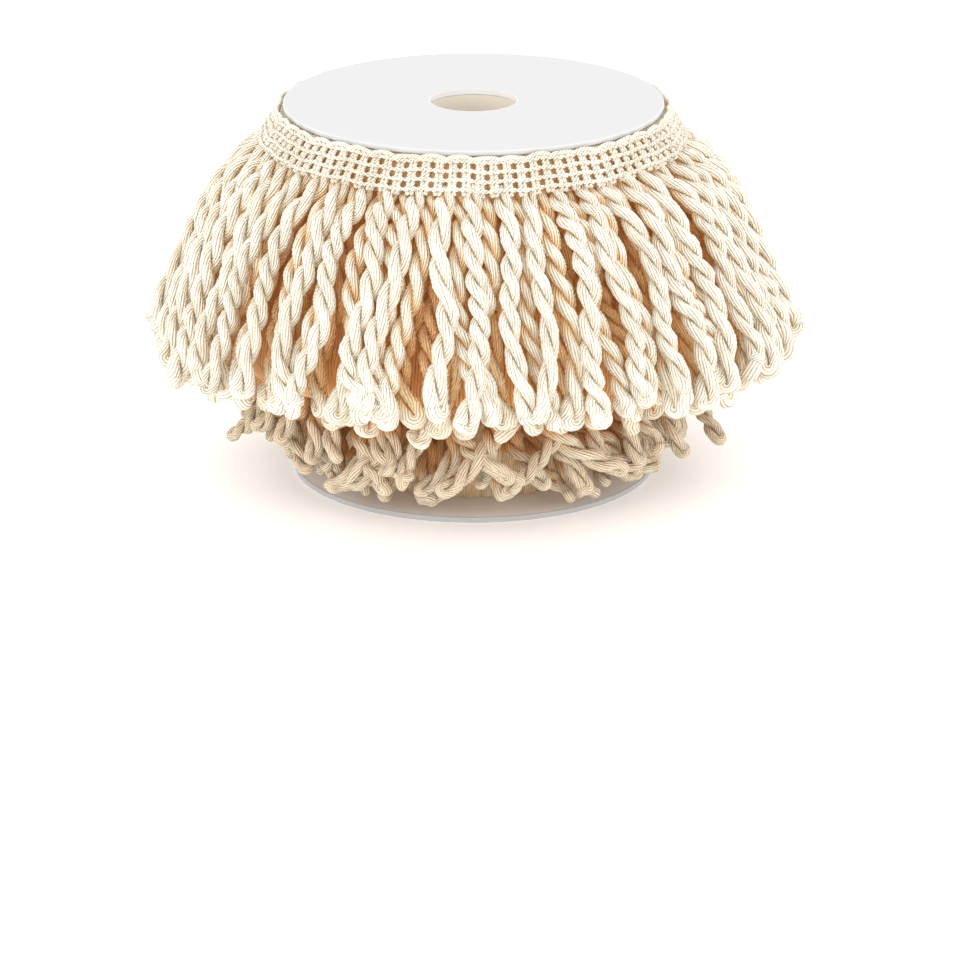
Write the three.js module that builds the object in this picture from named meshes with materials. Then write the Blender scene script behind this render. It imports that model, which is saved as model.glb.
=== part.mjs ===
// Bullion fringe trim wound on a flanged spool. Millimetres, +Z up,
// origin on the spool's axis at the underside of the bottom flange.
import * as THREE from 'three';

// Driving dimensions.
const spool = {
  height: 100.5, topRadius: 50, bottomRadius: 48.3, flange: 1.5, edge: 0.4,
  boreRadius: 11.5, coreRadius: 14, flangeSides: 48, coreSides: 32,
};
const trim = { columns: 96, strandWidth: 6.0, strandDepth: 3.9, plainWidth: 6.2 };
const clearance = 0.4;
const flangeTopUnder = spool.height - spool.flange;

// The wound heading: a conical roll, wider at its foot. Its chain ribs stand proud, and its
// top rim rises in one small arc for each pair of columns.
const heading = {
  inner: spool.coreRadius + clearance, bottom: 90.0, topRadius: 51.2, bottomRadius: 55.4,
  rib: 0.9, scallop: 1.1, ribs: 4,
};

// The wound form of the inner turns: under the heading it swells out beneath the second
// fringe, then draws in to a waist above the bottom flange.
const woundBody = {
  sides: 48, lobes: 24, lobe: 0.7,
  inner: spool.coreRadius + clearance, bottom: spool.flange + clearance, top: heading.bottom - clearance,
  waist: 32.8,
  swell: [
    { r: 44.0, z: 32.4 }, { r: 57.5, z: 34.5 }, { r: 65.8, z: 39.5 }, { r: 63.4, z: 50.0 },
    { r: 58.2, z: 63.0 }, { r: 52.4, z: 74.5 }, { r: 46.6, z: 82.0 }, { r: 46.0, z: 89.6 },
  ],
};

// Rows of strands, each fused at its roots into one narrow strip. Sections give a strand's
// middle line from root to tip; scatter is how far tips stray sideways, out and up from it,
// alike on every strand that is one repeat further round.
const fringeRows = [
  {
    name: 'fringe_outer', count: 48, offset: 0, sides: 4, steps: 14, twisted: true, repeat: 24, seed: 1,
    strip: { inner: 52.4, outer: 55.8, top: 89.6 },
    sections: [
      { r: 54.1, z: 87.4 }, { r: 57.4, z: 84.6 }, { r: 62.6, z: 80.4 }, { r: 68.2, z: 70.2 },
      { r: 73.6, z: 56.6 }, { r: 78.2, z: 43.4 }, { r: 79.6, z: 33.0 },
    ],
    scatter: { side: 1.7, out: 2.8, up: 6.0 },
  },
  {
    name: 'fringe_second', count: 48, offset: 0.5, sides: 3, steps: 7, twisted: false, repeat: 24, seed: 2,
    strip: { inner: 47.2, outer: 50.8, top: 89.6 },
    sections: [
      { r: 49.0, z: 87.4 }, { r: 50.0, z: 82.6 }, { r: 56.0, z: 76.8 }, { r: 61.8, z: 67.0 },
      { r: 67.2, z: 54.0 }, { r: 72.0, z: 41.6 }, { r: 73.4, z: 31.4 },
    ],
    scatter: { side: 1.2, out: -1.4, up: 4.0 },
  },
  {
    name: 'fringe_lower', count: 36, offset: 0.25, sides: 3, steps: 5, twisted: false, repeat: 36, seed: 3,
    strip: { inner: 39.6, outer: 42.8, top: 31.2 },
    sections: [
      { r: 41.2, z: 29.0 }, { r: 43.4, z: 24.6 }, { r: 47.6, z: 20.0 }, { r: 53.4, z: 16.6 },
      { r: 59.0, z: 14.6 },
    ],
    scatter: { side: 1.8, out: 3.0, up: 4.0 },
  },
  {
    name: 'fringe_base', count: 32, offset: 0, sides: 3, steps: 5, twisted: false, repeat: 32, seed: 4,
    strip: { inner: 34.3, outer: 37.5, top: 31.2 },
    sections: [
      { r: 35.9, z: 29.0 }, { r: 36.9, z: 21.0 }, { r: 38.8, z: 12.4 }, { r: 42.2, z: 6.2 },
      { r: 46.8, z: 4.0 },
    ],
    scatter: { side: 1.6, out: 3.0, up: 1.2 },
  },
];

// Single ends that poke out lower and further than the others of the lower row.
const strayEnds = [
  { strand: 20, out: 3.0, down: 5.0 },
  { strand: 33, out: 2.0, down: 5.0 },
  { strand: 35, out: 6.0, down: 6.0 },
];

// A strand's width at shares of its length: slim at its root, then full, then its loop end.
const strandSwell = [
  { share: 0.0, width: 0.72 }, { share: 0.16, width: 1.0 }, { share: 0.8, width: 1.0 },
  { share: 0.94, width: 1.1 }, { share: 1.0, width: 0.45 },
];

const colours = {
  cotton: 0xf4ead6, shadedCotton: 0xd9bf95, plastic: 0xeeeeec, core: 0xe4d9cc,
};

// A repeatable spread of values from 0 to 1, one for each index and seed.
function spread(index, seed) {
  const wave = Math.sin(index * 12.9898 + seed * 78.233) * 43758.5453;
  return wave - Math.floor(wave);
}

function closedGeometry(points, triangles) {
  const geometry = new THREE.BufferGeometry();
  geometry.setAttribute('position', new THREE.Float32BufferAttribute(points, 3));
  geometry.setIndex(triangles);
  return geometry;
}

// The two triangles of one side of a ring's outline, between one spoke and the next.
function ringWall(triangles, here, there, row, next) {
  triangles.push(here + row, there + row, there + next);
  triangles.push(here + row, there + next, here + next);
}

// A ring turned about Z from a closed outline of radius and height, given anticlockwise.
function turnedRing(outline, sides, shape = (corner) => corner) {
  const points = [];
  const triangles = [];
  const rows = outline.length;
  for (let side = 0; side < sides; side += 1) {
    const angle = (side / sides) * Math.PI * 2;
    outline.forEach((corner) => {
      const { r, z } = shape(corner, side);
      points.push(r * Math.cos(angle), r * Math.sin(angle), z);
    });
  }
  for (let side = 0; side < sides; side += 1) {
    const there = ((side + 1) % sides) * rows;
    for (let row = 0; row < rows; row += 1) {
      ringWall(triangles, side * rows, there, row, (row + 1) % rows);
    }
  }
  return closedGeometry(points, triangles);
}

function flangeDisc(radius, bottom) {
  const top = bottom + spool.flange;
  const { edge, boreRadius } = spool;
  return turnedRing([
    { r: boreRadius, z: bottom }, { r: radius - edge, z: bottom }, { r: radius, z: bottom + edge },
    { r: radius, z: top - edge }, { r: radius - edge, z: top }, { r: boreRadius, z: top },
  ], spool.flangeSides);
}

function coreTube() {
  const bottom = spool.flange + clearance;
  const top = flangeTopUnder - clearance;
  return turnedRing([
    { r: spool.boreRadius, z: bottom }, { r: spool.coreRadius, z: bottom },
    { r: spool.coreRadius, z: top }, { r: spool.boreRadius, z: top },
  ], spool.coreSides);
}

function headingRoll() {
  const top = flangeTopUnder - clearance - heading.scallop;
  const outline = [{ r: heading.inner, z: heading.bottom }];
  const bands = heading.ribs * 2;
  for (let band = 0; band <= bands; band += 1) {
    const share = band / bands;
    const slope = THREE.MathUtils.lerp(heading.bottomRadius, heading.topRadius, share);
    outline.push({
      r: slope + (band % 2 === 0 ? heading.rib : 0),
      z: THREE.MathUtils.lerp(heading.bottom, top, share),
      rim: band === bands,
    });
  }
  outline.push({ r: heading.inner, z: top });
  return turnedRing(outline, trim.columns, (corner, side) => ({
    r: corner.r,
    z: corner.z + (corner.rim && side % 2 === 0 ? heading.scallop : 0),
  }));
}

function woundForm() {
  const { inner, bottom, top, waist, swell } = woundBody;
  const outline = [
    { r: inner, z: bottom }, { r: waist, z: bottom }, { r: waist, z: swell[0].z - 0.6 },
    ...swell, { r: inner, z: top },
  ];
  return turnedRing(outline, woundBody.sides, (corner, side) => {
    const wave = Math.cos((side / woundBody.sides) * Math.PI * 2 * woundBody.lobes);
    return { r: corner.r + (corner.r > inner ? wave * woundBody.lobe : 0), z: corner.z };
  });
}

// The middle line of one strand, with its own lean, reach and length.
function strandCurve(row, index) {
  const turn = index % row.repeat;
  const angle = ((index + row.offset) / row.count) * Math.PI * 2;
  const stray = row.name === 'fringe_lower' && strayEnds.find((end) => end.strand === index);
  const lean = (spread(turn, row.seed) * 2 - 1) * row.scatter.side;
  const out = spread(turn, row.seed + 10) * row.scatter.out + (stray ? stray.out : 0);
  const up = spread(turn, row.seed + 20) * row.scatter.up - (stray ? stray.down : 0);
  const last = row.sections.length - 1;
  const points = row.sections.map((section, place) => {
    const share = (place / last) ** 2;
    const radius = section.r + out * share;
    const swing = angle + (lean * share) / radius;
    return new THREE.Vector3(
      radius * Math.cos(swing), radius * Math.sin(swing), section.z + up * share,
    );
  });
  return new THREE.CatmullRomCurve3(points, false, 'centripetal');
}

function swellAt(share) {
  const next = strandSwell.findIndex((point) => point.share >= share);
  if (next <= 0) return strandSwell[0].width;
  const [from, to] = [strandSwell[next - 1], strandSwell[next]];
  return THREE.MathUtils.mapLinear(share, from.share, to.share, from.width, to.width);
}

// Adds one strand's rings of points. A twisted strand's flat section turns a quarter at each
// step. The root ring lies in the strip's underside.
function addStrandPoints(points, row, index) {
  const curve = strandCurve(row, index);
  for (let step = 0; step <= row.steps; step += 1) {
    const share = step / row.steps;
    const centre = curve.getPointAt(share);
    const along = step === 0 ? new THREE.Vector3(0, 0, -1) : curve.getTangentAt(share);
    const outward = new THREE.Vector3(centre.x, centre.y, 0).normalize();
    outward.addScaledVector(along, -outward.dot(along)).normalize();
    const across = new THREE.Vector3().crossVectors(outward, along);
    const swell = swellAt(share) * 0.5;
    for (let side = 0; side < row.sides; side += 1) {
      const angle = (side / row.sides) * Math.PI * 2;
      const wide = (side + step) % 2 === 0 ? trim.strandWidth : trim.strandDepth;
      const reach = (row.twisted ? wide : trim.plainWidth) * swell;
      const point = centre.clone()
        .addScaledVector(across, Math.cos(angle) * reach)
        .addScaledVector(outward, Math.sin(angle) * reach);
      points.push(point.x, point.y, point.z);
    }
  }
}

// Walls and loop end of one strand. On a twisted one the ridges run from wide corner to
// wide corner, as two plies do.
function addStrandTriangles(triangles, row, first) {
  const { sides, steps } = row;
  for (let step = 0; step < steps; step += 1) {
    for (let side = 0; side < sides; side += 1) {
      const a = first + step * sides + side;
      const b = first + step * sides + ((side + 1) % sides);
      if (row.twisted && (side + step) % 2 === 1) {
        triangles.push(a, b, a + sides, b, b + sides, a + sides);
      } else {
        triangles.push(a, b, b + sides, a, b + sides, a + sides);
      }
    }
  }
  const end = first + steps * sides;
  for (let side = 1; side < sides - 1; side += 1) triangles.push(end, end + side, end + side + 1);
}

// Joins the four corners of the strip's underside, round a strand, to the strand's root ring,
// going round both at once. The corners lie half a corner's turn ahead of the ring's points.
function addRootFrame(triangles, corners, first, sides) {
  const count = corners.length;
  let corner = 0;
  let side = 0;
  while (corner < count || side < sides) {
    const nextCorner = (corner + 0.5) / count;
    const nextSide = (side + 1) / sides;
    const root = first + (side % sides);
    if (side >= sides || (corner < count && nextCorner <= nextSide)) {
      triangles.push(corners[corner % count], corners[(corner + 1) % count], root);
      corner += 1;
    } else {
      triangles.push(corners[corner % count], first + ((side + 1) % sides), root);
      side += 1;
    }
  }
}

// One row: a narrow strip with a cell for each strand, and each strand drawn from its cell.
function fringe(row) {
  const { strip, count, sides, steps } = row;
  const bottom = row.sections[0].z;
  const outline = [
    { r: strip.inner, z: bottom }, { r: strip.outer, z: bottom },
    { r: strip.outer, z: strip.top }, { r: strip.inner, z: strip.top },
  ];
  const corners = outline.length;
  const points = [];
  const triangles = [];
  for (let cell = 0; cell < count; cell += 1) {
    const angle = ((cell + row.offset - 0.5) / count) * Math.PI * 2;
    outline.forEach(({ r, z }) => points.push(r * Math.cos(angle), r * Math.sin(angle), z));
  }
  for (let cell = 0; cell < count; cell += 1) {
    const here = cell * corners;
    const there = ((cell + 1) % count) * corners;
    for (let wall = 1; wall < corners; wall += 1) {
      ringWall(triangles, here, there, wall, (wall + 1) % corners);
    }
    const first = count * corners + cell * (steps + 1) * sides;
    addStrandPoints(points, row, cell);
    addStrandTriangles(triangles, row, first);
    addRootFrame(triangles, [there, there + 1, here + 1, here], first, sides);
  }
  return closedGeometry(points, triangles);
}

function finish(colour, roughness) {
  return new THREE.MeshStandardMaterial({ color: colour, roughness, metalness: 0 });
}

const part = new THREE.Group();

function addPiece(name, geometry, material) {
  const mesh = new THREE.Mesh(geometry, material);
  mesh.name = name;
  part.add(mesh);
}

addPiece('spool_core', coreTube(), finish(colours.core, 0.8));
addPiece('flange_top', flangeDisc(spool.topRadius, flangeTopUnder), finish(colours.plastic, 0.45));
addPiece('flange_bottom', flangeDisc(spool.bottomRadius, 0), finish(colours.plastic, 0.45));
addPiece('heading_roll', headingRoll(), finish(colours.cotton, 0.95));
addPiece('wound_body', woundForm(), finish(colours.shadedCotton, 0.95));
fringeRows.forEach((row) => {
  addPiece(row.name, fringe(row), finish(row.twisted ? colours.cotton : colours.shadedCotton, 0.95));
});

export default part;
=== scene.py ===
# Ivory bullion fringe wound on a white spool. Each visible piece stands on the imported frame.
import math
import bpy
import numpy as np
from mathutils import Matrix, Vector


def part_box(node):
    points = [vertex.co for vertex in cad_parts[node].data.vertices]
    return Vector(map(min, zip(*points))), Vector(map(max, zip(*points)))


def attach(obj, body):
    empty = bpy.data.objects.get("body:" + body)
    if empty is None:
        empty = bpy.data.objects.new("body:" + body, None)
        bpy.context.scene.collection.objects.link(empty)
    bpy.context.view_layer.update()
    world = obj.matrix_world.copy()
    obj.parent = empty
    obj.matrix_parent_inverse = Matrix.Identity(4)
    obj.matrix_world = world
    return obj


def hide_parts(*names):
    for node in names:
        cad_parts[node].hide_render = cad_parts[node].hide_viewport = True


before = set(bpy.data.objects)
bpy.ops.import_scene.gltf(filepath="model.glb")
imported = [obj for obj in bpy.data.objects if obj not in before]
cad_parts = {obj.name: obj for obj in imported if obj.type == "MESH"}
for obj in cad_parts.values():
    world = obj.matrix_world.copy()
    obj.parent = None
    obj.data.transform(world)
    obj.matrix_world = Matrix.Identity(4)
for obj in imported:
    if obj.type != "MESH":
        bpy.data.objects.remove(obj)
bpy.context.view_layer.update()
mm = 0.001
print("frame loaded")

viewPoint = {"place": (1.7, -1198.9, 418.4), "tiltDown": 19.46, "lens": 176.8, "sightEnd": 20000}


def addCamera():
    camera = bpy.data.objects.new("camera", bpy.data.cameras.new("camera"))
    bpy.context.scene.collection.objects.link(camera)
    camera.data.lens = viewPoint["lens"]
    camera.data.clip_end = viewPoint["sightEnd"] * mm
    camera.location = Vector(viewPoint["place"]) * mm
    camera.rotation_euler = (math.radians(90 - viewPoint["tiltDown"]), 0, 0)
    bpy.context.scene.camera = camera


addCamera()
print("camera placed")


def clearPick():
    if bpy.context.object and bpy.context.object.mode != "OBJECT":
        bpy.ops.object.mode_set(mode="OBJECT")
    bpy.ops.object.select_all(action="DESELECT")


def pick(*things):
    clearPick()
    for thing in things:
        thing.select_set(True)
    bpy.context.view_layer.objects.active = things[0]


# Opens a piece for editing with only the faces, edges or points that the test takes.
def pickParts(piece, kind, test):
    pick(piece)
    bpy.ops.object.mode_set(mode="EDIT")
    bpy.ops.mesh.select_mode(type=kind)
    bpy.ops.mesh.select_all(action="DESELECT")
    bpy.ops.object.mode_set(mode="OBJECT")
    parts = {"FACE": piece.data.polygons, "EDGE": piece.data.edges, "VERT": piece.data.vertices}[kind]
    for part in parts:
        part.select = bool(test(part))
    bpy.ops.object.mode_set(mode="EDIT")


# Merges points that lie this close, closes open ends if asked, and turns all faces outwards.
def closeUp(piece, merge=0.0, fillEnds=False):
    pick(piece)
    bpy.ops.object.mode_set(mode="EDIT")
    bpy.ops.mesh.select_all(action="SELECT")
    if merge:
        bpy.ops.mesh.remove_doubles(threshold=merge * mm)
    if fillEnds:
        bpy.ops.mesh.fill_holes(sides=0)
        bpy.ops.mesh.select_all(action="SELECT")
    bpy.ops.mesh.normals_make_consistent(inside=False)
    bpy.ops.object.mode_set(mode="OBJECT")
    bpy.ops.object.shade_smooth()


def applyModifiers(piece):
    pick(piece)
    for name in [modifier.name for modifier in piece.modifiers]:
        bpy.ops.object.modifier_apply(modifier=name)


def readPoints(piece):
    points = np.empty(len(piece.data.vertices) * 3)
    piece.data.vertices.foreach_get("co", points)
    return points.reshape(-1, 3)


def writePoints(piece, points):
    piece.data.vertices.foreach_set("co", points.ravel())
    piece.data.update()


def joinAs(name, things):
    pick(*things)
    if len(things) > 1:
        bpy.ops.object.join()
    piece = bpy.context.object
    piece.name = name
    piece.data.name = name
    return piece


def finishPiece(piece, material, nodes=()):
    piece.data.materials.clear()
    piece.data.materials.append(material)
    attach(piece, "root")
    if nodes:
        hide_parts(*nodes)
    triangles = sum(len(face.vertices) - 2 for face in piece.data.polygons)
    print("made", piece.name, "with", triangles, "triangles")


def spread(index, seed):  # a repeatable value from 0 to 1
    wave = math.sin(index * 12.9898 + seed * 78.233) * 43758.5453
    return wave - math.floor(wave)


# Materials. Each helper takes the node tree and gives back the output of what it adds.

def newMaterial(name):
    material = bpy.data.materials.new(name)
    material.use_nodes = True
    return material, material.node_tree, material.node_tree.nodes["Principled BSDF"]


def addMath(tree, operation, *values):
    node = tree.nodes.new("ShaderNodeMath")
    node.operation = operation
    for place, value in enumerate(values):
        if isinstance(value, (int, float)):
            node.inputs[place].default_value = value
        else:
            tree.links.new(value, node.inputs[place])
    return node.outputs[0]


def addStretch(tree, source, stretch):
    node = tree.nodes.new("ShaderNodeVectorMath")
    node.operation = "MULTIPLY"
    node.inputs[1].default_value = stretch
    tree.links.new(source, node.inputs[0])
    return node.outputs[0]


def addNoise(tree, source, scale, detail=0):
    noise = tree.nodes.new("ShaderNodeTexNoise")
    noise.inputs["Scale"].default_value = scale
    noise.inputs["Detail"].default_value = detail
    tree.links.new(source, noise.inputs["Vector"])
    return noise.outputs[0]


def addRamp(tree, source, stops):
    ramp = tree.nodes.new("ShaderNodeValToRGB")
    ramp.color_ramp.elements[0].position = stops[0][0]
    ramp.color_ramp.elements[0].color = (*stops[0][1], 1)
    ramp.color_ramp.elements[1].position = stops[-1][0]
    ramp.color_ramp.elements[1].color = (*stops[-1][1], 1)
    for place, colour in stops[1:-1]:
        ramp.color_ramp.elements.new(place).color = (*colour, 1)
    tree.links.new(source, ramp.inputs[0])
    return ramp.outputs[0]


# Multiplies a tone by a colour or by another output.
def addTint(tree, tone, layer):
    mix = tree.nodes.new("ShaderNodeMix")
    mix.data_type = "RGBA"
    mix.blend_type = "MULTIPLY"
    mix.inputs[0].default_value = 1
    tree.links.new(tone, mix.inputs[6])
    if isinstance(layer, tuple):
        mix.inputs[7].default_value = (*layer, 1)
    else:
        tree.links.new(layer, mix.inputs[7])
    return mix.outputs[2]


def addBump(tree, shader, height, strength, distance):
    bump = tree.nodes.new("ShaderNodeBump")
    bump.inputs["Strength"].default_value = strength
    bump.inputs["Distance"].default_value = distance
    tree.links.new(height, bump.inputs["Height"])
    tree.links.new(bump.outputs[0], shader.inputs["Normal"])


cottonLook = {
    "yarnsRound": 12, "driftScale": 1.6, "drift": 8.0, "ridgeRound": 0.55,
    "fibreStretch": (26, 2.4, 1), "fibreDetail": 1, "fuzzScale": 2200, "fuzz": 0.3,
    "bump": 1.0, "bumpDepth": 0.00035,
    "grooveShadeGain": 0.6,
    # painted shade: the grooves between yarns are coloured darker
    "grooveShadeStops": [(0.36, (0.44, 0.36, 0.27)), (0.54, (0.83, 0.78, 0.70)), (0.74, (1.0, 1.0, 1.0))],
    "patchScale": 70, "patchStops": [(0.3, (0.93, 0.90, 0.86)), (0.7, (1.0, 1.0, 1.0))],
    "shadeDepthScale": 16.0,  # millimetres of depth over the whole colour ramp
    # painted shade: the colour by depth, ivory at the fringe's face, warm and dark deeper in its gaps
    "shadeDepthStops": [
        (0.00, (0.972, 0.928, 0.832)), (0.11, (0.968, 0.915, 0.800)), (0.20, (0.94, 0.78, 0.56)),
        (0.33, (0.89, 0.60, 0.33)), (0.60, (0.80, 0.44, 0.18)), (1.00, (0.66, 0.31, 0.10)),
    ],
    # painted light: a faint glow everywhere, and more in the deep gaps
    "paintedGlowAll": 0.12, "glow": 0.06, "glowFrom": 0.16, "glowSpan": 0.24, "glowTint": (0.86, 0.66, 0.38),
    "roughness": 0.92, "specular": 0.2, "sheen": 0.35, "sheenRoughness": 0.5,
}
# The knitting and the lower rows take less painted glow, and the knitting lighter painted shade in its
# grooves.
knitLook = dict(cottonLook, bumpDepth=0.0003, drift=2.0, paintedGlowAll=0.04, grooveShadeStops=[
    (0.34, (0.74, 0.67, 0.57)), (0.56, (0.95, 0.92, 0.88)), (0.76, (1.0, 1.0, 1.0))])
lowerLook = dict(cottonLook, glow=0.03, paintedGlowAll=0.04)


# Twisted cotton: fine yarns follow each ply through its map. The colour is painted darker and warmer with
# depth and in the yarn grooves as painted shade, and a faint glow adds painted light.
def cottonMaterial(name, look, tint):
    material, tree, shader = newMaterial(name)
    yarnMap = tree.nodes.new("ShaderNodeUVMap")
    yarnMap.uv_map = "yarnLay"
    lay = yarnMap.outputs[0]
    parts = tree.nodes.new("ShaderNodeSeparateXYZ")
    tree.links.new(lay, parts.inputs[0])
    place = tree.nodes.new("ShaderNodeTexCoord").outputs["Object"]

    drift = addMath(tree, "MULTIPLY", addNoise(tree, lay, look["driftScale"]), look["drift"])
    around = addMath(tree, "MULTIPLY", parts.outputs[0], look["yarnsRound"] * math.tau)
    wave = addMath(tree, "COSINE", addMath(tree, "ADD", around, drift))
    ridge = addMath(tree, "POWER", addMath(tree, "MULTIPLY_ADD", wave, 0.5, 0.5), look["ridgeRound"])
    fibres = addNoise(tree, addStretch(tree, lay, look["fibreStretch"]), 1, look["fibreDetail"])
    fuzz = addMath(tree, "MULTIPLY", addNoise(tree, place, look["fuzzScale"]), look["fuzz"])
    height = addMath(tree, "ADD", addMath(tree, "ADD", ridge, fibres), fuzz)
    addBump(tree, shader, height, look["bump"], look["bumpDepth"])

    # painted shade: the colour ramp by depth
    depth = tree.nodes.new("ShaderNodeAttribute")
    depth.attribute_name = "depth"
    share = addMath(tree, "DIVIDE", depth.outputs["Fac"], look["shadeDepthScale"])
    tone = addRamp(tree, share, look["shadeDepthStops"])
    patches = addRamp(tree, addNoise(tree, place, look["patchScale"]), look["patchStops"])
    # painted shade in the yarn grooves
    grooves = addRamp(tree, addMath(tree, "MULTIPLY", height, look["grooveShadeGain"]), look["grooveShadeStops"])
    for layer in (patches, grooves, tint):
        tone = addTint(tree, tone, layer)
    tree.links.new(tone, shader.inputs["Base Color"])

    # painted light: the cotton glows faintly everywhere and more in the deep gaps
    tree.links.new(addTint(tree, tone, look["glowTint"]), shader.inputs["Emission Color"])
    glow = addMath(tree, "MAXIMUM", addMath(tree, "SUBTRACT", share, look["glowFrom"]), 0.0)
    glow = addMath(tree, "MULTIPLY", glow, look["glow"] / look["glowSpan"])
    glow = addMath(tree, "ADD", addMath(tree, "MINIMUM", glow, look["glow"]), look["paintedGlowAll"])
    tree.links.new(glow, shader.inputs["Emission Strength"])
    material.cycles.emission_sampling = "NONE"  # the lift is too faint to count as a lamp

    shader.inputs["Roughness"].default_value = look["roughness"]
    shader.inputs["Specular IOR Level"].default_value = look["specular"]
    shader.inputs["Sheen Weight"].default_value = look["sheen"]
    shader.inputs["Sheen Roughness"].default_value = look["sheenRoughness"]
    return material


plasticLook = {"span": 60, "grainScale": 900, "grainDetail": 2, "bump": 0.08, "bumpDepth": 0.0001}


# Moulded plastic in one colour, or with stops over the distance from the axis as a share of the span.
def plasticMaterial(name, tone, roughness):
    material, tree, shader = newMaterial(name)
    place = tree.nodes.new("ShaderNodeTexCoord").outputs["Object"]
    if isinstance(tone, tuple):
        shader.inputs["Base Color"].default_value = (*tone, 1)
    else:
        gain = 1 / (plasticLook["span"] * mm)
        away = tree.nodes.new("ShaderNodeVectorMath")
        away.operation = "LENGTH"
        tree.links.new(addStretch(tree, place, (gain, gain, 0)), away.inputs[0])
        tree.links.new(addRamp(tree, away.outputs["Value"], tone), shader.inputs["Base Color"])
    grain = addNoise(tree, place, plasticLook["grainScale"], plasticLook["grainDetail"])
    addBump(tree, shader, grain, plasticLook["bump"], plasticLook["bumpDepth"])
    shader.inputs["Roughness"].default_value = roughness
    return material


# The inner and lower copies of the cotton are tinted warmer and darker as painted shade for lying deep in
# the fringe and under the skirt.
outerCotton = cottonMaterial("outerCotton", cottonLook, (1.0, 1.0, 1.0))
knitCotton = cottonMaterial("knitCotton", knitLook, (0.955, 0.95, 0.94))
innerCottonShaded = cottonMaterial("innerCottonShaded", cottonLook, (0.98, 0.94, 0.87))
lowerCottonShaded = cottonMaterial("lowerCottonShaded", lowerLook, (0.91, 0.81, 0.68))
# Top disc: the bore wall is painted lighter as painted light in its shade, the face darker as painted shade
# against the strong light from above, and the rim lighter as a painted highlight.
litWhitePlastic = plasticMaterial("litWhitePlastic", [  # bore wall, face, rim
    (0.1919, (0.80, 0.79, 0.77)), (0.1926, (0.535, 0.535, 0.54)), (0.826, (0.535, 0.535, 0.54)),
    (0.8315, (0.60, 0.60, 0.60))], 0.6)
# Bottom disc: the face is painted lighter as painted light in its shadow, and the rim darker as painted
# shade.
shadedPlastic = plasticMaterial("shadedPlastic", [  # face, then rim
    (0.0, (0.90, 0.88, 0.86)), (0.79, (0.86, 0.84, 0.82)), (0.803, (0.44, 0.43, 0.425))], 0.5)
creamCore = plasticMaterial("creamCore", (0.76, 0.69, 0.60), 0.6)
print("materials ready")


# The spool: discs and tube with one bore, in millimetres and degrees.

spoolForm = {"bore": 11.5, "rim": 0.4, "rimSteps": 4, "seat": 0.3, "sides": 192, "smoothUnder": 35}


# A round piece in the place of its node, with a rounded rim, or let into its neighbours by the seat.
def boredCylinder(name, node, rim=0.0, seat=0.0):
    low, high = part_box(node)
    low.z -= seat * mm
    high.z += seat * mm
    radius = (high.x - low.x) / 2
    clearPick()
    bpy.ops.mesh.primitive_cylinder_add(
        vertices=spoolForm["sides"], radius=radius, depth=high.z - low.z,
        location=(0, 0, (low.z + high.z) / 2))
    piece = bpy.context.object
    piece.name = name
    bpy.ops.object.transform_apply(location=True)
    pickParts(piece, "FACE", lambda face: abs(face.normal.z) > 0.9)
    bpy.ops.mesh.inset(thickness=radius - spoolForm["bore"] * mm)
    bpy.ops.mesh.bridge_edge_loops()
    bpy.ops.object.mode_set(mode="OBJECT")
    if rim:
        spots = readPoints(piece)
        away = np.hypot(spots[:, 0], spots[:, 1])

        def onRim(line):
            first, second = line.vertices
            level = spots[first, 2] == spots[second, 2]
            return level and min(away[first], away[second]) > radius * 0.99
        pickParts(piece, "EDGE", onRim)
        bpy.ops.mesh.bevel(offset=rim * mm, segments=spoolForm["rimSteps"])
        bpy.ops.object.mode_set(mode="OBJECT")
    pick(piece)
    bpy.ops.object.shade_smooth_by_angle(angle=math.radians(spoolForm["smoothUnder"]))
    return piece


topDisc = boredCylinder("topDisc", "flange_top", rim=spoolForm["rim"])
finishPiece(topDisc, litWhitePlastic, ["flange_top"])
bottomDisc = boredCylinder("bottomDisc", "flange_bottom", rim=spoolForm["rim"])
finishPiece(bottomDisc, shadedPlastic, ["flange_bottom"])
coreTube = boredCylinder("coreTube", "spool_core", seat=spoolForm["seat"])
finishPiece(coreTube, creamCore, ["spool_core"])


# Strands. One straight two-ply rope is modelled for each length, then laid along every path.

ropeForm = {
    "plyOffset": 1.5, "plyOut": 1.62, "plyAround": 1.95, "groove": 0.95, "groovedFrom": 13,
    "halfTurn": 8.0, "counterLay": 0.7, "loopSteps": 8, "merge": 0.02,
    "twistEase": 4.0, "loopSwell": 7, "rootTaper": 8, "rootShare": 0.66,
}
mapLength = 10  # millimetres along a yarn for one unit of its map
ropes = {}


# Draws one ply's section, with fine grooves where it has corners enough for them.
def plySection(sides):
    clearPick()
    bpy.ops.mesh.primitive_circle_add(vertices=sides, radius=1)
    rope = bpy.context.object
    groove = ropeForm["groove"]
    pickParts(rope, "VERT", lambda corner: sides >= ropeForm["groovedFrom"] and corner.index % 2)
    bpy.ops.transform.resize(value=(groove, groove, 1), center_override=(0, 0, 0))
    bpy.ops.mesh.select_all(action="SELECT")
    bpy.ops.transform.resize(
        value=(ropeForm["plyOut"] * mm, ropeForm["plyAround"] * mm, 1), center_override=(0, 0, 0))
    bpy.ops.transform.translate(value=(ropeForm["plyOffset"] * mm, 0, 0))
    bpy.ops.object.mode_set(mode="OBJECT")
    return rope


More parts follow.
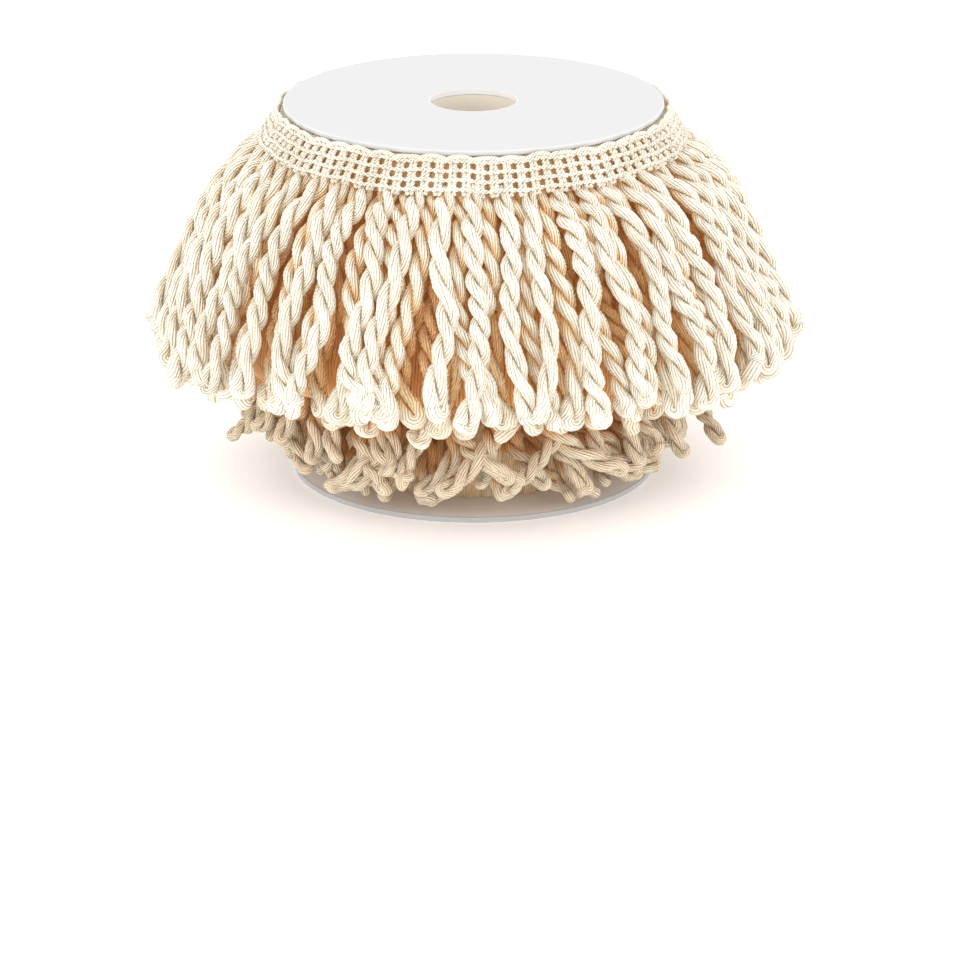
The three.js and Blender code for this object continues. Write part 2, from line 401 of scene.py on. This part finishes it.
def ropeUnit(halfTurns, row):
    key = (halfTurns, row["sides"], row["steps"], row["swell"])
    if key in ropes:
        return ropes[key]
    length = halfTurns * ropeForm["halfTurn"] * mm
    rope = plySection(row["sides"])
    screw = rope.modifiers.new("twist", "SCREW")
    screw.axis = "Z"
    screw.angle = -math.pi * halfTurns
    screw.screw_offset = length
    screw.steps = screw.render_steps = halfTurns * row["steps"]
    applyModifiers(rope)
    firstPly = len(rope.data.vertices)
    bpy.ops.object.mode_set(mode="EDIT")
    bpy.ops.mesh.select_all(action="SELECT")
    bpy.ops.mesh.duplicate()
    bpy.ops.transform.rotate(value=math.pi, orient_axis="Z", center_override=(0, 0, 0))
    bpy.ops.object.mode_set(mode="OBJECT")
    # one ply's end goes over in a half circle and becomes the other ply
    spots = readPoints(rope)
    ending = spots[:, 2] > length - 1e-6
    ending[firstPly:] = False
    turnsAway = 1 if spots[ending, 0].mean() > 0 else -1
    pickParts(rope, "EDGE", lambda line: ending[line.vertices[0]] and ending[line.vertices[1]])
    bpy.ops.mesh.spin(
        steps=ropeForm["loopSteps"], angle=math.pi, center=(0, 0, length), axis=(0, turnsAway, 0))
    closeUp(rope, ropeForm["merge"], fillEnds=True)
    layYarns(rope, length, halfTurns)
    swellLoop(rope, length, halfTurns, row["swell"])
    rope.data.transform(Matrix.Rotation(math.radians(90), 4, "Y"))
    ropes[key] = rope
    return rope


# Writes the yarn map from a value for each point; where it goes round, a face stays on one turn.
def setYarnMap(piece, places, turn=0):
    sheet = piece.data.uv_layers.new(name="yarnLay")
    corners = np.empty(len(piece.data.loops), dtype=np.int64)
    piece.data.loops.foreach_get("vertex_index", corners)
    values = places[corners]
    if turn:
        starts = np.empty(len(piece.data.polygons), dtype=np.int64)
        sizes = np.empty(len(piece.data.polygons), dtype=np.int64)
        piece.data.polygons.foreach_get("loop_start", starts)
        piece.data.polygons.foreach_get("loop_total", sizes)
        first = np.repeat(values[starts, 0], sizes)
        values[:, 0] -= np.round((values[:, 0] - first) / turn) * turn
    sheet.data.foreach_set("uv", values.ravel())


# The map of a rope: turns round the ply, less its counter lay, and the length along it. The
# crease is 0 on the rope's outside and grows towards its middle; it later adds painted shade in the creases
# between the plies.
def layYarns(rope, length, halfTurns):
    spots = readPoints(rope)
    beyond = np.maximum(spots[:, 2] - length, 0)
    turn = math.pi * halfTurns * np.minimum(spots[:, 2], length) / length
    flatX = spots[:, 0] * np.cos(turn) - spots[:, 1] * np.sin(turn)
    flatY = spots[:, 0] * np.sin(turn) + spots[:, 1] * np.cos(turn)
    fromPly = np.hypot(flatX, beyond) - ropeForm["plyOffset"] * mm
    angle = np.arctan2(flatY / ropeForm["plyAround"], fromPly / ropeForm["plyOut"]) / math.tau
    fromAxis = np.hypot(np.hypot(spots[:, 0], spots[:, 1]), beyond) / mm
    crease = rope.data.attributes.new("crease", "FLOAT", "POINT")
    crease.data.foreach_set("value", 1 - fromAxis / (ropeForm["plyOffset"] + ropeForm["plyOut"]))
    counter = ropeForm["counterLay"] * (turn / math.pi - halfTurns) * np.where(flatX > 0, 1, -1)
    setYarnMap(rope, np.stack([angle - counter, spots[:, 2] / (mapLength * mm)], axis=1), 1)


# The twist dies out into the loop, which may be fuller than the rope, and the root is drawn in.
def swellLoop(rope, length, halfTurns, swell):
    spots = readPoints(rope)
    ease = ropeForm["twistEase"] * mm
    late = np.clip(spots[:, 2] - length + ease, 0, ease)
    unturn = math.pi * halfTurns / length * late ** 2 / (2 * ease)
    x, y = spots[:, 0].copy(), spots[:, 1].copy()
    spots[:, 0] = x * np.cos(unturn) - y * np.sin(unturn)
    spots[:, 1] = x * np.sin(unturn) + y * np.cos(unturn)
    full = ropeForm["loopSwell"] * mm
    share = np.clip((spots[:, 2] - length + full) / full, 0, 1)[:, None]
    spots[:, :2] *= 1 + swell * share * share * (3 - 2 * share)
    root = np.clip(spots[:, 2] / (ropeForm["rootTaper"] * mm), 0, 1)[:, None]
    spots[:, :2] *= ropeForm["rootShare"] + (1 - ropeForm["rootShare"]) * root * (2 - root)
    writePoints(rope, spots)


# A smooth line through a few points, sampled evenly by its own length.
def smoothLine(knots, count):
    padded = np.vstack([2 * knots[0] - knots[1], knots, 2 * knots[-1] - knots[-2]])
    samples = []
    for piece in range(1, len(padded) - 2):
        before, start, end, after = padded[piece - 1:piece + 3]
        for t in np.arange(0, 1, 0.125):
            samples.append(0.5 * (
                2 * start + (end - before) * t + (2 * before - 5 * start + 4 * end - after) * t ** 2
                + (3 * start - before - 3 * end + after) * t ** 3))
    samples.append(knots[-1])
    samples = np.array(samples)
    reach = np.concatenate([[0], np.cumsum(np.linalg.norm(np.diff(samples, axis=0), axis=1))])
    even = np.linspace(0, reach[-1], count)
    return np.stack([np.interp(even, reach, samples[:, axis]) for axis in range(3)], axis=1), reach[-1]


# Rows of strands, in millimetres: sections give radius and height from root to tip. Tips stray by
# side, out and up, alike on strands that are one repeat further round. Cross, wave and curl are
# each strand's own. Inside is how deep the row lies in the fringe, and adds that much painted shade to its
# colour.
skirtRow = {"frontLift": 5.0, "flare": 1.6, "twist": 1.0, "swell": 0.24}
hiddenRow = dict(skirtRow, inside=1.4, side=2.6, up=5.0, wave=1.5, curl=5.0, girth=0.80, sides=8, steps=5)
footRow = {
    "inside": 0, "frontLift": 0, "flare": 0, "twist": 1.2, "swell": -0.10,
    "girth": 0.72, "sides": 14, "steps": 7,
}
fringeRows = {
    "outer": dict(
        skirtRow, count=48, offset=0, repeat=24, seed=1, inside=0, side=1.7, out=2.8, up=5.0,
        cross=4.6, wave=1.7, curl=7.0, girth=0.79, sides=14, steps=11,
        sections=[(53.4, 91.0), (55.2, 88.4), (58.8, 85.4), (63.8, 80.8), (69.6, 70.4), (75.0, 56.6),
                  (79.8, 43.0), (81.4, 30.6)]),
    "second": dict(
        skirtRow, count=48, offset=0.5, repeat=24, seed=2, inside=0.9, side=1.2, out=-1.4, up=4.0,
        cross=4.6, wave=1.8, curl=7.0, girth=0.78, sides=12, steps=8,
        sections=[(52.2, 90.0), (53.4, 87.4), (56.6, 84.2), (61.8, 79.4), (67.6, 69.2), (73.0, 55.2),
                  (77.8, 41.8), (79.4, 29.6)]),
    "third": dict(
        hiddenRow, count=58, offset=0.2, seed=5, out=2.0, cross=3.6, flare=1.0,
        sections=[(48.2, 88.4), (52.0, 84.0), (58.2, 76.0), (63.8, 65.0), (69.2, 52.0), (73.6, 39.0),
                  (74.6, 26.4)]),
    "fourth": dict(
        hiddenRow, count=44, offset=0.6, seed=6, out=3.0, cross=4.0, frontLift=4.0, flare=0,
        sections=[(45.0, 80.0), (49.0, 70.0), (54.0, 58.0), (59.5, 45.0), (63.6, 32.0), (65.0, 22.0)]),
    "lower": dict(
        footRow, count=44, offset=0.25, seed=3, side=1.8, out=3.0, up=5.0, cross=17.0, wave=1.8, curl=4.0,
        sections=[(41.0, 34.0), (47.4, 31.4), (53.0, 27.0), (56.6, 21.0), (58.6, 15.4), (59.6, 11.4)]),
    "middle": dict(
        footRow, count=48, offset=0.6, seed=8, side=2.0, out=3.5, up=3.0, cross=19.0, wave=1.8, curl=4.0,
        sections=[(38.6, 33.0), (44.0, 29.4), (48.4, 24.4), (51.4, 18.0), (53.2, 12.0), (54.2, 7.6)]),
    "base": dict(
        footRow, count=40, offset=0, seed=4, side=1.6, out=3.6, up=1.2, cross=12.0, wave=1.4, curl=3.0,
        sections=[(36.0, 31.0), (39.0, 26.0), (42.0, 19.0), (44.4, 12.0), (46.6, 7.4), (49.4, 5.0)]),
}
strayEnds = {24: (5.0, 3.0), 40: (3.0, 4.0), 43: (7.0, 4.0)}  # lower row: out and down

# What all rows share: how a path strays, waves and curls, and how its rope varies. Pairs are a
# least or middle value and what the spread adds to it.
strandForm = {
    "points": 28, "crossGain": 1.6, "crossOut": 1.5, "waves": (0.8, 0.9), "wavePhase": 2.4,
    "curlGain": 1.5, "bendPace": 5, "bendLate": 3.9, "curlRise": 0.35, "curlOut": (-0.6, 1.8),
    "looseness": (0.82, 0.36), "girthMore": 0.16, "lump": 0.07, "lumpLengths": (1.3, 2.9),
    "slack": 1.4, "slackLength": 7, "slackFade": 9,
}


def strandPath(rowName, index):
    row = fringeRows[rowName]
    form = strandForm
    seed = row["seed"]
    turn = index % row.get("repeat", row["count"])
    angle = (index + row["offset"]) / row["count"] * math.tau
    strayOut, strayDown = strayEnds.get(index, (0, 0)) if rowName == "lower" else (0, 0)
    front = max(0, -math.sin(angle)) ** 2
    cross = spread(index, seed + 30) + spread(index, seed + 31) - 1
    lean = (spread(turn, seed) * 2 - 1) * row["side"] + cross * row["cross"] * form["crossGain"]
    out = spread(turn, seed + 10) * row["out"] + strayOut + abs(cross) * form["crossOut"]
    up = spread(turn, seed + 20) * row["up"] - strayDown + row["frontLift"] * front
    knots = []
    last = len(row["sections"]) - 1
    for place, (radius, height) in enumerate(row["sections"]):
        share = (place / last) ** 2
        reach = radius + (out + row["flare"] * abs(math.cos(angle))) * share
        swing = angle + lean * share / reach
        knots.append((reach * math.cos(swing), reach * math.sin(swing), height + up * share))
    line, length = smoothLine(np.array(knots) * mm, form["points"])
    along = np.linspace(0, 1, form["points"])[:, None]
    sideways = np.array([-math.sin(angle), math.cos(angle), 0])
    outward = np.array([math.cos(angle), math.sin(angle), 0])
    fewest, more = form["waves"]
    wave = np.sin(along * math.tau * (fewest + more * spread(index, seed + 33)) + index * form["wavePhase"])
    curl = (spread(index, seed + 40) * 2 - 1) ** 3 * row["curl"] * form["curlGain"]
    bend = np.clip(along * form["bendPace"] - form["bendLate"], 0, None) ** 2
    line = line + sideways * (curl * bend + row["wave"] * wave * np.minimum(along * 2, 1)) * mm
    least, more = form["curlOut"]
    rise = np.array([0, 0, 1]) * abs(curl) * form["curlRise"]
    rise = rise + outward * (spread(index, seed + 41) * more + least)
    return line + rise * bend * mm, length


def pathLine():
    data = bpy.data.curves.new("pathLine", "CURVE")
    data.dimensions = "3D"
    data.twist_mode = "MINIMUM"
    data.use_path = True
    data.splines.new("POLY").points.add(strandForm["points"] - 1)
    line = bpy.data.objects.new("pathLine", data)
    bpy.context.scene.collection.objects.link(line)
    return line


def layStrand(rowName, index, guide):
    row = fringeRows[rowName]
    form = strandForm
    line, length = strandPath(rowName, index)
    span = ropeForm["halfTurn"] * mm
    tip = (ropeForm["plyOffset"] + ropeForm["plyOut"]) * mm
    least, more = form["looseness"]
    looseness = (least + more * spread(index, row["seed"] + 51)) * row["twist"]
    halfTurns = max(2, round((length - tip) / span * looseness))
    rope = ropeUnit(halfTurns, row)
    tilt = spread(index, row["seed"] + 50) * math.tau
    for point, place in zip(guide.data.splines[0].points, line):
        point.co = (*place, 1)
        point.tilt = tilt
    strand = bpy.data.objects.new("strand", rope.data.copy())
    bpy.context.scene.collection.objects.link(strand)
    girth = row["girth"] + form["girthMore"] * spread(index, row["seed"] + 52)
    strand.data.transform(Matrix.Diagonal((length / (halfTurns * span + tip), girth, girth, 1)))
    spots = readPoints(strand)
    along = spots[:, 0].copy()
    short, long = form["lumpLengths"]
    lumps = np.sin(along / (short * mm) + index * 3)
    lumps = 1 + form["lump"] * lumps * np.sin(along / (long * mm) + index * 7)
    spots[:, 1:] *= lumps[:, None]
    slack = form["slack"] * mm * np.sin(along / (form["slackLength"] * mm) + index)
    spots[:, 0] += slack * np.clip((length - along) / (form["slackFade"] * mm), 0, 1)
    writePoints(strand, spots)
    bend = strand.modifiers.new("path", "CURVE")
    bend.object = guide
    applyModifiers(strand)
    return strand


# The fringe's outer face, as height and radius. Depth is measured in from it, less for its slant,
# with a little more in the creases of a rope, all in millimetres. The cotton's colour is painted darker and
# warmer with this depth as painted shade.
shadeDepthForm = {
    "face": [(0, 46), (6, 48), (14, 53), (20, 56), (25, 60), (30, 66), (35, 72.5), (40, 78), (46, 80),
             (57, 77), (71, 71.5), (82, 65.5), (88, 58.2), (91, 56.8), (99, 53)],
    "slant": 0.9, "creaseFrom": 0.12, "creaseShadeDepth": 4.0, "footTop": 31.2,
}


# Stores the depth that the cotton's painted shade is read from. Above the brim there is no depth, so no
# painted shade, and below the skirt it may have a limit.
def paintShadeDepth(piece, extraShade=0, brim=math.inf, footShadeDepth=math.inf):
    form = shadeDepthForm
    spots = readPoints(piece) / mm
    heights, radii = zip(*form["face"])
    face = np.interp(spots[:, 2], heights, radii)
    depth = np.maximum((face - np.hypot(spots[:, 0], spots[:, 1])) * form["slant"] + extraShade, 0)
    # painted shade: the creases of a rope count as deeper
    if "crease" in piece.data.attributes:
        crease = np.empty(len(spots))
        piece.data.attributes["crease"].data.foreach_get("value", crease)
        depth += np.clip(crease - form["creaseFrom"], 0, 1) * form["creaseShadeDepth"]
        piece.data.attributes.remove(piece.data.attributes["crease"])
    depth *= spots[:, 2] < brim
    depth = np.where(spots[:, 2] < form["footTop"], np.minimum(depth, footShadeDepth), depth)
    field = piece.data.attributes.new("depth", "FLOAT", "POINT")
    field.data.foreach_set("value", depth)


# One piece from whole rows, or from the first or second half of them.
def fringePiece(name, rowNames, material, nodes, half=None):
    guide = pathLine()
    strands = []
    for row in rowNames:
        count = fringeRows[row]["count"]
        chosen = range(count) if half is None else range(half * count // 2, (half + 1) * count // 2)
        strands += [layStrand(row, index, guide) for index in chosen]
    piece = joinAs(name, strands)
    bpy.data.objects.remove(guide)
    paintShadeDepth(piece, fringeRows[rowNames[0]]["inside"])
    finishPiece(piece, material, nodes)


fringePiece("outerFringeBack", ["outer"], outerCotton, ["fringe_outer"], 0)
fringePiece("outerFringeFront", ["outer"], outerCotton, ["fringe_outer"], 1)
fringePiece("secondFringe", ["second"], outerCotton, ["fringe_second"])
fringePiece("innerFringe", ["third", "fourth"], innerCottonShaded, [])
fringePiece("lowerFringe", ["lower"], lowerCottonShaded, ["fringe_lower"])
fringePiece("baseFringe", ["middle", "base"], lowerCottonShaded, ["fringe_base"])
for rope in ropes.values():
    bpy.data.objects.remove(rope)


# Spun forms: a closed outline of radius and height in millimetres, turned round the axis.
def spunForm(name, outline, steps):
    clearPick()
    bpy.ops.mesh.primitive_circle_add(vertices=len(outline), radius=1)
    piece = bpy.context.object
    piece.name = name
    writePoints(piece, np.array([(radius, 0, height) for radius, height in outline]) * mm)
    bpy.ops.object.mode_set(mode="EDIT")
    bpy.ops.mesh.select_all(action="SELECT")
    bpy.ops.mesh.spin(steps=steps, angle=math.tau, center=(0, 0, 0), axis=(0, 0, 1))
    closeUp(piece, 0.01)
    return piece


# Yarn map of a spun form: yarns run up and down, one turn of the map for each strand.
def layUpright(piece, strandsRound):
    spots = readPoints(piece)
    angle = np.arctan2(spots[:, 1], spots[:, 0]) / math.tau * strandsRound
    setYarnMap(piece, np.stack([angle, spots[:, 2] / (mapLength * mm)], axis=1), strandsRound)


innerForm = {
    "outline": [(14.4, 1.9), (33.6, 1.9), (35.0, 10), (35.6, 20), (36.6, 29.0), (43.0, 31.4),
                (57.0, 32.0), (66.0, 35.0), (68.4, 41.0), (66.6, 50.0), (63.4, 59.0), (60.0, 67.0),
                (56.2, 75.0), (51.8, 82.0), (49.4, 89.4), (14.4, 89.4)],
    "ridges": 40, "ridge": 1.3, "ridgeMiddle": 0.6, "sway": 0.6, "swayPace": 0.35,
    "stillWithin": 20, "easeOver": 10, "steps": 240, "extraShadeDepth": 2, "footShadeDepth": 3.4,
}


# The wound turns inside the fringe, ridged like strands; extra depth paints them darker as painted shade,
# limited below the skirt.
def innerTurns(form):
    piece = spunForm("innerTurns", form["outline"], form["steps"])
    layUpright(piece, form["ridges"])
    spots = readPoints(piece)
    radius = np.hypot(spots[:, 0], spots[:, 1])
    angle = np.arctan2(spots[:, 1], spots[:, 0])
    free = np.clip((radius / mm - form["stillWithin"]) / form["easeOver"], 0, 1)
    sway = np.sin(spots[:, 2] / mm * form["swayPace"]) * form["sway"]
    wave = np.abs(np.cos(angle * form["ridges"] / 2 + sway)) - form["ridgeMiddle"]
    spots[:, :2] *= (1 + wave * form["ridge"] * mm * free / radius)[:, None]
    writePoints(piece, spots)
    paintShadeDepth(piece, form["extraShadeDepth"], footShadeDepth=form["footShadeDepth"])
    finishPiece(piece, innerCottonShaded, ["wound_body"])


innerTurns(innerForm)


# The heading: chain rows, upright yarn pairs and a scalloped rim, drawn flat and then wrapped.
# Lengths are in millimetres; proud pairs are a middle value and a wave about it.
headingForm = {
    "columns": 96, "top": (51.0, 98.6), "foot": (56.2, 89.6), "rows": [0.9, 3.4, 5.9, 8.4],
    "uprightLength": 9.6, "uprightPoints": 13, "uprightGap": 0.56, "uprightWidth": 1.18,
    "gapWave": 0.12, "gapPace": 2.4, "uprightProud": 0.25, "uprightBeat": 2.5,
    "chainPoints": 7, "chainWidth": 0.66, "chainRise": 0.30, "chainProud": (0.62, 0.3),
    "archPoints": 11, "archWidth": 1.25, "archReach": 1.05, "archFoot": 0.9, "archRise": 1.1,
    "archProud": (0.35, 0.3),
    "wobble": [(0.22, 8), (0.16, 3)],  # up and down, over so many columns
    "ripple": 0.25, "rippleColumns": 4, "rippleLean": 0.5,
}


# A tube through flat points: across, down and proud.
def yarnTube(name, points, width):
    data = bpy.data.curves.new(name, "CURVE")
    data.dimensions = "3D"
    data.bevel_depth = width / 2
    data.bevel_resolution = 1
    data.use_fill_caps = True
    spline = data.splines.new("POLY")
    spline.points.add(len(points) - 1)
    for point, place in zip(spline.points, points):
        point.co = (*place, 1)
    tube = bpy.data.objects.new(name, data)
    bpy.context.scene.collection.objects.link(tube)
    pick(tube)
    bpy.ops.object.convert(target="MESH")
    return bpy.context.object


def uprightTube(form, pitch, side):
    points = []
    for down in np.linspace(0.0, form["uprightLength"], form["uprightPoints"]):
        gap = side * form["uprightGap"] * (1 + form["gapWave"] * math.sin(down * form["gapPace"]))
        proud = form["uprightProud"] * math.cos(down * math.tau / form["uprightBeat"])
        points.append((0.5 * pitch + gap, down, proud))
    return yarnTube("upright", points, form["uprightWidth"])


def chainTube(form, pitch, row, phase):
    middle, wave = form["chainProud"]
    points = []
    for across in np.linspace(0, pitch, form["chainPoints"]):
        turn = across / pitch * math.tau + phase
        points.append((across, row + form["chainRise"] * math.sin(turn), middle + wave * math.cos(turn)))
    return yarnTube("chain", points, form["chainWidth"])


def archTube(form, pitch):
    middle, wave = form["archProud"]
    points = []
    for turn in np.linspace(0, math.pi, form["archPoints"]):
        across = pitch * (1 - form["archReach"] * math.cos(turn))
        down = form["archFoot"] - form["archRise"] * math.sin(turn)
        points.append((across, down, middle + wave * math.sin(turn)))
    return yarnTube("arch", points, form["archWidth"])


def repeatAcross(piece, count, step):
    repeat = piece.modifiers.new("repeat", "ARRAY")
    repeat.count = count
    repeat.use_relative_offset = False
    repeat.use_constant_offset = True
    repeat.constant_offset_displace = (step, 0, 0)
    applyModifiers(piece)


# Wraps flat knitting, across in columns, round the cone of the heading.
def wrapHeading(spots, form):
    topRadius, topHeight = form["top"]
    footRadius, footHeight = form["foot"]
    slope = math.hypot(footRadius - topRadius, topHeight - footHeight)
    share = spots[:, 1] / slope
    angle = spots[:, 0] * (math.tau / form["columns"])
    lift = np.array([topHeight - footHeight, footRadius - topRadius]) / slope
    radius = topRadius + (footRadius - topRadius) * share + spots[:, 2] * lift[0]
    height = topHeight - (topHeight - footHeight) * share + spots[:, 2] * lift[1]
    return np.stack([radius * np.cos(angle), radius * np.sin(angle), height], axis=1) * mm


def heading(form):
    pitch = math.tau * (form["top"][0] + form["foot"][0]) / 2 / form["columns"]
    cell = [uprightTube(form, pitch, side) for side in (-1, 1)]
    cell += [chainTube(form, pitch, row, phase) for row in form["rows"] for phase in (0, math.pi)]
    column = joinAs("column", cell)
    repeatAcross(column, form["columns"], pitch)
    arch = archTube(form, pitch)
    repeatAcross(arch, form["columns"] // 2, pitch * 2)
    piece = joinAs("headingKnit", [column, arch])
    spots = readPoints(piece)
    stripes = (spots[:, 0] + spots[:, 1]) / cottonLook["yarnsRound"]
    setYarnMap(piece, np.stack([stripes, spots[:, 1] / mapLength], axis=1))
    spots[:, 0] /= pitch
    spots[:, 1] += sum(size * np.sin(spots[:, 0] * math.tau / span) for size, span in form["wobble"])
    ripple = spots[:, 0] * math.tau / form["rippleColumns"] + spots[:, 1] * form["rippleLean"]
    spots[:, 2] += form["ripple"] * np.sin(ripple)
    writePoints(piece, wrapHeading(spots, form))
    closeUp(piece)
    paintShadeDepth(piece)
    finishPiece(piece, knitCotton, ["heading_roll"])


heading(headingForm)


# The turns behind the knitting, seen through its holes, painted darker by extra depth as painted shade
# below the brim.
backingForm = {
    "outline": [(15, 89.6), (54.4, 89.6), (53.6, 92.0), (52.6, 94.4), (51.2, 96.8), (50.4, 98.7),
                (15, 98.7)],
    "steps": 192, "yarnsRound": 96, "extraShadeDepth": 4.5, "brim": 97.8,
}


def headingBacking(form):
    piece = spunForm("headingBacking", form["outline"], form["steps"])
    layUpright(piece, form["yarnsRound"])
    paintShadeDepth(piece, form["extraShadeDepth"], form["brim"])
    finishPiece(piece, innerCottonShaded)


headingBacking(backingForm)


# Floor and light, in metres and watts

studio = {
    "floorSize": 6, "floorTone": 0.97, "floorGlow": 0.16, "floorRoughness": 0.9, "worldLight": 1.48,
    "aim": (0, 0, 0.05),
    "lamps": {
        "keyLight": {"place": (-1.15, -0.95, 0.6), "size": 0.7, "power": 4},
        "fillLight": {"place": (1.2, -0.85, 0.35), "size": 0.8, "power": 3.2},
    },
}


def plainFloor():
    clearPick()
    bpy.ops.mesh.primitive_plane_add(size=studio["floorSize"], location=(0, 0, 0))
    floor = bpy.context.object
    floor.name = "floor"
    material, tree, shader = newMaterial("paleFloor")
    shader.inputs["Base Color"].default_value = (*[studio["floorTone"]] * 3, 1)
    shader.inputs["Emission Color"].default_value = (1, 1, 1, 1)
    shader.inputs["Emission Strength"].default_value = studio["floorGlow"]
    shader.inputs["Roughness"].default_value = studio["floorRoughness"]
    floor.data.materials.append(material)


def addLamp(name, lampForm):
    data = bpy.data.lights.new(name, "AREA")
    data.shape = "DISK"
    data.size = lampForm["size"]
    data.energy = lampForm["power"]
    lamp = bpy.data.objects.new(name, data)
    bpy.context.scene.collection.objects.link(lamp)
    lamp.location = lampForm["place"]
    toAim = Vector(studio["aim"]) - Vector(lampForm["place"])
    lamp.rotation_euler = toAim.to_track_quat("-Z", "Y").to_euler()


def whiteWorld():
    world = bpy.data.worlds.new("studio")
    bpy.context.scene.world = world
    world.use_nodes = True
    background = world.node_tree.nodes["Background"]
    background.inputs[0].default_value = (1, 1, 1, 1)
    background.inputs[1].default_value = studio["worldLight"]


plainFloor()
whiteWorld()
for name, lampForm in studio["lamps"].items():
    addLamp(name, lampForm)
bpy.context.scene.view_settings.view_transform = "Standard"
print("floor and light ready")
